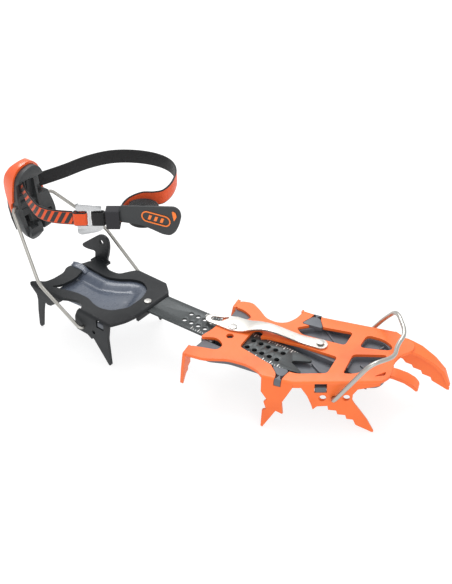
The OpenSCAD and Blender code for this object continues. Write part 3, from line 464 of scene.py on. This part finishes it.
def bar_material():
    """Dark steel with engraved graduations along both edges, in the link bar's own axes, in metres."""
    p = Paint("bar_steel", (0.045, 0.052, 0.054), 0.42, metallic=0.3)
    start = turned(BAR_START, 0, 0, 0, 0) * MM
    local = p.node("ShaderNodeMapping", vector_type="TEXTURE")
    coords = p.node("ShaderNodeTexCoord")
    local.inputs["Location"].default_value = start
    local.inputs["Rotation"].default_value = (0, 0, BAR_ANGLE)
    p.link(coords.outputs["Object"], local.inputs["Vector"])
    at = local.outputs["Vector"]
    stretched = p.node("ShaderNodeMapping")
    stretched.inputs["Scale"].default_value = (0.05, 1, 1)
    p.link(at, stretched.inputs["Vector"])
    grain = p.noise(stretched.outputs["Vector"], 900, 4, 0.6)
    p.mix(p.ramp(grain, 0.4, 0.9), (0.065, 0.073, 0.075))
    split = p.node("ShaderNodeSeparateXYZ")
    p.link(at, split.inputs[0])
    along, across = split.outputs[0], split.outputs[1]
    edge = p.math("ABSOLUTE", across)

    def between(value, low, high):
        return p.math("MULTIPLY", p.math("GREATER_THAN", value, low), p.math("LESS_THAN", value, high))

    def rule(half_pitch, mark, inner):
        lines = p.math("GREATER_THAN", p.math("PINGPONG", along, half_pitch), mark)
        return p.math("MULTIPLY", lines, between(edge, inner, MARK_EDGE))

    fine = rule(FINE_HALF_PITCH, FINE_MARK, FINE_INNER)
    tall = rule(TALL_HALF_PITCH, TALL_MARK, TALL_INNER)
    marks = p.math("MULTIPLY", p.math("MAXIMUM", fine, tall), between(along, MARKS_FROM, MARKS_TO))
    p.mix(marks, (0.62, 0.62, 0.6))
    p.rough(grain, 0.30, 0.5)
    p.bump(marks, -0.1, 0.6)
    return p.material


def tab_material():
    """Rubber with a fine diagonal rib."""
    p = Paint("tab_rubber", (0.050, 0.055, 0.057), 0.5)
    ribs = p.wave(p.place("UV", rotation=(0, 0, math.radians(38))), 420, "X")
    cross = p.wave(p.place("UV", rotation=(0, 0, math.radians(-52))), 300, "X")
    grid = p.math("MULTIPLY", ribs, p.math("ADD", p.math("MULTIPLY", cross, 0.4), 0.6))
    # Painted shade: the grooves between the ribs, where the bump below sinks, are darkened.
    p.mix(p.ramp(grid, 0.45, 0.1), (0.028, 0.031, 0.033))
    p.rough(p.noise(p.place("UV"), 500), 0.42, 0.6)
    p.bump(grid, 0.12, 0.7)
    return p.material


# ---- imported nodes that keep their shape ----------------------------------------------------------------


def dress(node, materials, width=0.0, segments=3):
    """Gives a CAD node its materials, the second one on its rounded edges. With no width they stay crisp."""
    obj = NODES[node]
    obj.data.materials.clear()
    for m in materials:
        obj.data.materials.append(m)
    for polygon in obj.data.polygons:
        polygon.material_index = 0
    if width:
        soften_edges(obj, width, segments, 1 if len(materials) > 1 else None)
    else:
        crisp(obj)


bar_steel = bar_material()
tab_rubber = tab_material()
dress("front_frame", [orange_coat])
dress("heel_frame", [black_coat])
# The link bar's bevelled edges take the lighter edge colour: painted highlight along with wear scuffs.
dress("link_bar", [bar_steel, black_edge_painted_highlight_and_wear], 0.2, 2)
dress("front_snow_plate", [slate], 0.8)
dress("plate_clips", [slate], 0.8)
dress("heel_clip", [slate], 1.0)
dress("bar_guide", [bar_steel], 0.2, 2)
for rivets in ("guide_rivets", "lever_rivet", "bar_rivet", "lock_pin"):
    dress(rivets, [rivet_steel], 0.35)
dress("lock_lever", [strip_steel], 0.3)
# The buckle frame's bevelled edges take the darker chrome: painted shade on the rounded edges.
dress("buckle_frame", [chrome, chrome_edge_painted_shade], 0.35)
dress("lever_body", [lever_grey], 0.9)
dress("lever_cover", [cover_orange], 0.7)
dress("lever_handle", [handle_black], 0.8)
dress("strap_tab", [tab_rubber], 0.5)
dress("tab_badge", [badge_orange], 0.2, 2)

# ---- heel dish -----------------------------------------------------------------------------------------

DISH_TOP = 42.3
DISH_FLOOR = DISH_TOP - 3.0
DISH_BASE = DISH_TOP - 5
DISH_CENTRE = Vector((-45, -17))
DISH_RINGS = 26
SWELL_HEIGHT, SWELL_REACH, SWELL_WIDTH = 2.7, 11.5, 9.0
TROUGH_DEPTH, TROUGH_AT, TROUGH_WIDTH = 0.9, 12.5, 3.2
LIP_HEIGHT, LIP_WIDTH = 0.3, 0.07
DISH_OUTLINE = [
    (-8, -6), (-14, 12), (-28, 18), (-40, 16), (-56, 4), (-72, 5), (-84, 3), (-88, -8), (-82, -20),
    (-84, -34), (-76, -40), (-50, -37.5), (-38, -41), (-20, -41), (-8, -30),
]
DISH_RIDGE = [
    (-9, -12), (-12, -3), (-17, 9), (-27, 14), (-36, 12), (-47, 4), (-56.5, 0), (-70, 0.5),
    (-80, 1.5), (-86, 1),
]


def closed_soft(points, radius):
    """A closed outline with every corner rounded."""
    ring = []
    count = len(points)
    for i, p in enumerate(points):
        part = soft_path([points[i - 1], p, points[(i + 1) % count]], radius, 6)
        ring += part[1:-1]
    return ring


def away_from(x, y, line):
    """How far a place is from a line of points."""
    here = Vector((x, y))
    best = 1e9
    for a, b in zip(line, line[1:]):
        a, b = Vector(a), Vector(b)
        u = max(0.0, min(1.0, (here - a).dot(b - a) / (b - a).length_squared))
        best = min(best, (here - a - (b - a) * u).length)
    return best


def dish_height(x, y, out):
    """How high the dish's top is at a place. out is 0 at the dish's centre and 1 at its rim."""
    away = away_from(x, y, DISH_RIDGE)
    swell = min(1.0, max(0.0, (SWELL_REACH - away) / SWELL_WIDTH))
    swell = swell * swell * (3 - 2 * swell)
    trough = math.exp(-(((away - TROUGH_AT) / TROUGH_WIDTH) ** 2)) * TROUGH_DEPTH
    lip = min(1.0, max(0.0, (out - 1 + LIP_WIDTH) / LIP_WIDTH))
    return DISH_FLOOR + SWELL_HEIGHT * swell - trough * (1 - swell) + LIP_HEIGHT * lip * swell


def heel_dish():
    """The moulded dish: a flat floor whose far side swells up to the plate's edge."""
    outline = closed_soft([Vector(p) for p in DISH_OUTLINE], 5)
    count = len(outline)
    verts, faces = [], []
    for k in range(1, DISH_RINGS + 1):
        out = k / DISH_RINGS
        for p in outline:
            x, y = DISH_CENTRE + (p - DISH_CENTRE) * out
            verts.append(heel(x, y, dish_height(x, y, out)))
    verts += [heel(p.x, p.y, DISH_BASE) for p in outline]
    verts += [heel(*DISH_CENTRE, DISH_FLOOR), heel(*DISH_CENTRE, DISH_BASE)]
    top, base = len(verts) - 2, len(verts) - 1
    for i in range(count):
        j = (i + 1) % count
        for k in range(DISH_RINGS):
            inner, outer = count * k, count * (k + 1)
            faces.append((outer + i, outer + j, inner + j, inner + i))
        faces.append((top, i, j))
        faces.append((base, count * DISH_RINGS + j, count * DISH_RINGS + i))
    obj = piece("heel_dish", verts, faces, "heel_section", "dish_plastic", [dish_blue], ["heel_snow_plate"])
    crisp(obj, 60)


heel_dish()

TONGUE_PATH = [
    (-79, -2.4, 41.4), (-83, -2.6, 43.4), (-87, -3.2, 44.9), (-91, -3.7, 45.3),
    (-93.2, -4, 44.4), (-93.8, -4.1, 41.5), (-93.8, -4.1, 38.4),
]
verts, faces, uvs, kinds = sweep(spline([heel(*p) for p in TONGUE_PATH], 6), rounded_box(3.3, 0.9, 0.85),
                                 Vector((1, 0, 1)).normalized())
piece("dish_tongue", verts, faces, "heel_section", "dish_plastic", [dish_blue], (), uvs, kinds)

# ---- bails ---------------------------------------------------------------------------------------------

TOE_WIRE_R = 1.75
TOE_PATH = [
    (0, -32, TOE_PIN_Z), (0, -41.5, TOE_PIN_Z), (24, -33, 71), (37, -14, 68), (34.5, 2, 66),
    (37, 17, 68), (24, 38, 71), (12.4, 48, 52), (0, 50.2, TOE_PIN_Z), (0, 36, TOE_PIN_Z),
]
wire("toe_bail_wire", soft_path([front(*p) for p in TOE_PATH], 9), TOE_WIRE_R,
     "toe_bail", "bail_wire", wire_steel, ["toe_bail"])

HEEL_WIRE_R = 1.5
HEEL_PATH = [
    (HEEL_PIN[0], -44.4, HEEL_PIN[2]), (HEEL_PIN[0], -52.6, HEEL_PIN[2]), (-85, -52.4, 54.5),
    (CROSSBAR[0], -40.6, CROSSBAR[1]), (CROSSBAR[0], 2.6, CROSSBAR[1]), (-86.5, 31, 69),
    (HEEL_PIN[0], 31, HEEL_PIN[2]), (HEEL_PIN[0], 22, HEEL_PIN[2]),
]
wire("heel_bail_wire", soft_path([heel(*p) for p in HEEL_PATH], 5), HEEL_WIRE_R,
     "heel_bail", "bail_wire", wire_steel, ["heel_bail"])

# ---- ankle strap ---------------------------------------------------------------------------------------

FAR_ROUTE = [
    (-121.5, -8, 123), (-118.6, 0, 123.4), (-112.5, 14, 125), (-105, 34, 127.4), (-95, 53, 128),
    (-80, 67, 127.6), (-62, 75, 127), (-45, 75, 126.4), (-31, 66.5, 125.4), (-21.5, 51, 124),
    (-19.5, 38, 122.4), (-24.6, 32, 121), (-34.6, 27.6, 119), (-39.8, 18.4, 117), (-39.2, 9, 115.4),
    (-35, 2, STRAP_Z), (-38.6, -3.4, STRAP_Z), (-42.4, -7, STRAP_Z),
]
NEAR_ROUTE = [
    (-63.4, -25.2, STRAP_Z), (-73, -31, STRAP_Z), (-82.3, -34.9, STRAP_Z), (-91.7, -36.1, STRAP_Z + 0.4),
    (-100.2, -34.7, STRAP_Z + 2.2), (-110.4, -31.6, STRAP_Z + 6), (-117.4, -28.7, STRAP_Z + 9.4),
    (-120.3, -28, STRAP_Z + 10.6),
]
strap("ankle_strap", spline([heel(*p) for p in FAR_ROUTE], 8), STRAP_W,
      "black_webbing", [black_web, orange_web, black_web], ["strap_far"])
strap("near_strap", spline([heel(*p) for p in NEAR_ROUTE], 8), STRAP_W,
      "orange_webbing", [black_web, panel_web, black_web], ["strap_near"])

ROLL_TURNS = 6
ROLL_START_R = 2.6
ROLL_END_ANGLE = math.radians(-176.6)
ROLL_STEPS = 40


def roll_path():
    """The strap's spare end, rolled up from its middle outward."""
    made = []
    for i in range(ROLL_TURNS * ROLL_STEPS + 1):
        u = i / (ROLL_TURNS * ROLL_STEPS)
        angle = ROLL_END_ANGLE + 2 * math.pi * ROLL_TURNS * (u - 1)
        r = ROLL_START_R + (ROLL_R - STRAP_T / 2 - ROLL_START_R) * u
        made.append(turned(ROLL_AT, angle, r, 0, ROLL_Z + STRAP_W / 2))
    return made


strap("strap_roll_webbing", roll_path(), STRAP_W,
      "black_webbing", [black_web, black_web, black_web], ["strap_roll"])

LOOP_GAP = 1.25
LOOP_CORNER = 1.6


def loop_path(x0, x1):
    """A closed loop of webbing in the buckle's own plane, from x0 to x1 along it outside."""
    half_x, half_y = (x1 - x0 - STRAP_T) / 2, LOOP_GAP + STRAP_T / 2
    ring = rounded_box(half_x, half_y, LOOP_CORNER, 4)
    return [turned(BUCKLE_AT, BUCKLE_ANGLE, (x0 + x1) / 2 + a, b, STRAP_Z) for a, b in ring]


for name, x0, x1, web, slot, node in (
    ("buckle_loop_orange", -13.2, -1.6, orange_web, "orange_webbing", "buckle_loop_rear"),
    ("buckle_loop_black", 1.6, 13.2, black_web, "black_webbing", "buckle_loop_front"),
):
    strap(name, loop_path(x0, x1), STRAP_W - 0.6, slot, [web, web, black_web], [node], closed=True)


# ---- floor, light and camera ---------------------------------------------------------------------------

FLOOR_HALF = 6
FLOOR_DROP = 0.0002
FLOOR_GLOW = 0.78


def floor():
    """A white floor that glows a little, so that shadows stay faint."""
    mesh = bpy.data.meshes.new("floor")
    corners = [(x * FLOOR_HALF, y * FLOOR_HALF, 0) for x, y in ((-1, -1), (1, -1), (1, 1), (-1, 1))]
    mesh.from_pydata(corners, [], [(0, 1, 2, 3)])
    obj = bpy.data.objects.new("floor", mesh)
    bpy.context.scene.collection.objects.link(obj)
    obj.location.z = -FLOOR_DROP
    p = Paint("floor_paint", (0.30, 0.30, 0.30), 0.9, Specular_IOR_Level=0.0)
    p.shader.inputs["Emission Color"].default_value = (1, 1, 1, 1)
    p.shader.inputs["Emission Strength"].default_value = FLOOR_GLOW
    obj.data.materials.append(p.material)


def area_light(name, at, target, size, energy):
    """A rectangular light at one place that points at another."""
    data = bpy.data.lights.new(name, "AREA")
    data.shape = "RECTANGLE"
    data.size, data.size_y = size
    data.energy = energy
    obj = bpy.data.objects.new(name, data)
    obj.location = at
    obj.rotation_mode = "QUATERNION"
    obj.rotation_quaternion = (Vector(target) - Vector(at)).to_track_quat("-Z", "Y")
    bpy.context.scene.collection.objects.link(obj)


def lights():
    """White surroundings, a key light behind the object on the left and a weak fill in front."""
    world = bpy.data.worlds.new("studio")
    bpy.context.scene.world = world
    world.use_nodes = True
    background = world.node_tree.nodes["Background"]
    background.inputs["Color"].default_value = (1, 1, 1, 1)
    background.inputs["Strength"].default_value = 0.85
    area_light("key", (-0.5, 0.5, 1.3), (0, 0, 0), (1.0, 0.8), 14)
    area_light("fill", (0.9, -0.7, 0.7), (0, 0, 0.03), (0.9, 0.6), 3)
    bpy.context.scene.view_settings.view_transform = "Standard"


CAMERA_AT = (422.1, -444.4, 497.2)
CAMERA_LENS = 55.5
CAMERA_RIGHT = Vector((0.788, 0.616, 0)).normalized()
CAMERA_BACK = Vector((0.498, -0.638, 0.588)).normalized()


def camera():
    """The camera, given by the directions to its right and behind it."""
    data = bpy.data.cameras.new("camera")
    data.lens = CAMERA_LENS
    data.sensor_width = 36
    obj = bpy.data.objects.new("camera", data)
    bpy.context.scene.collection.objects.link(obj)
    right = (CAMERA_RIGHT - CAMERA_BACK * CAMERA_RIGHT.dot(CAMERA_BACK)).normalized()
    up = CAMERA_BACK.cross(right)
    turn = Matrix((right, up, CAMERA_BACK)).transposed().to_4x4()
    turn.translation = heel(*CAMERA_AT) * MM
    obj.matrix_world = turn
    bpy.context.scene.camera = obj


floor()
lights()
camera()

bpy.context.view_layer.update()
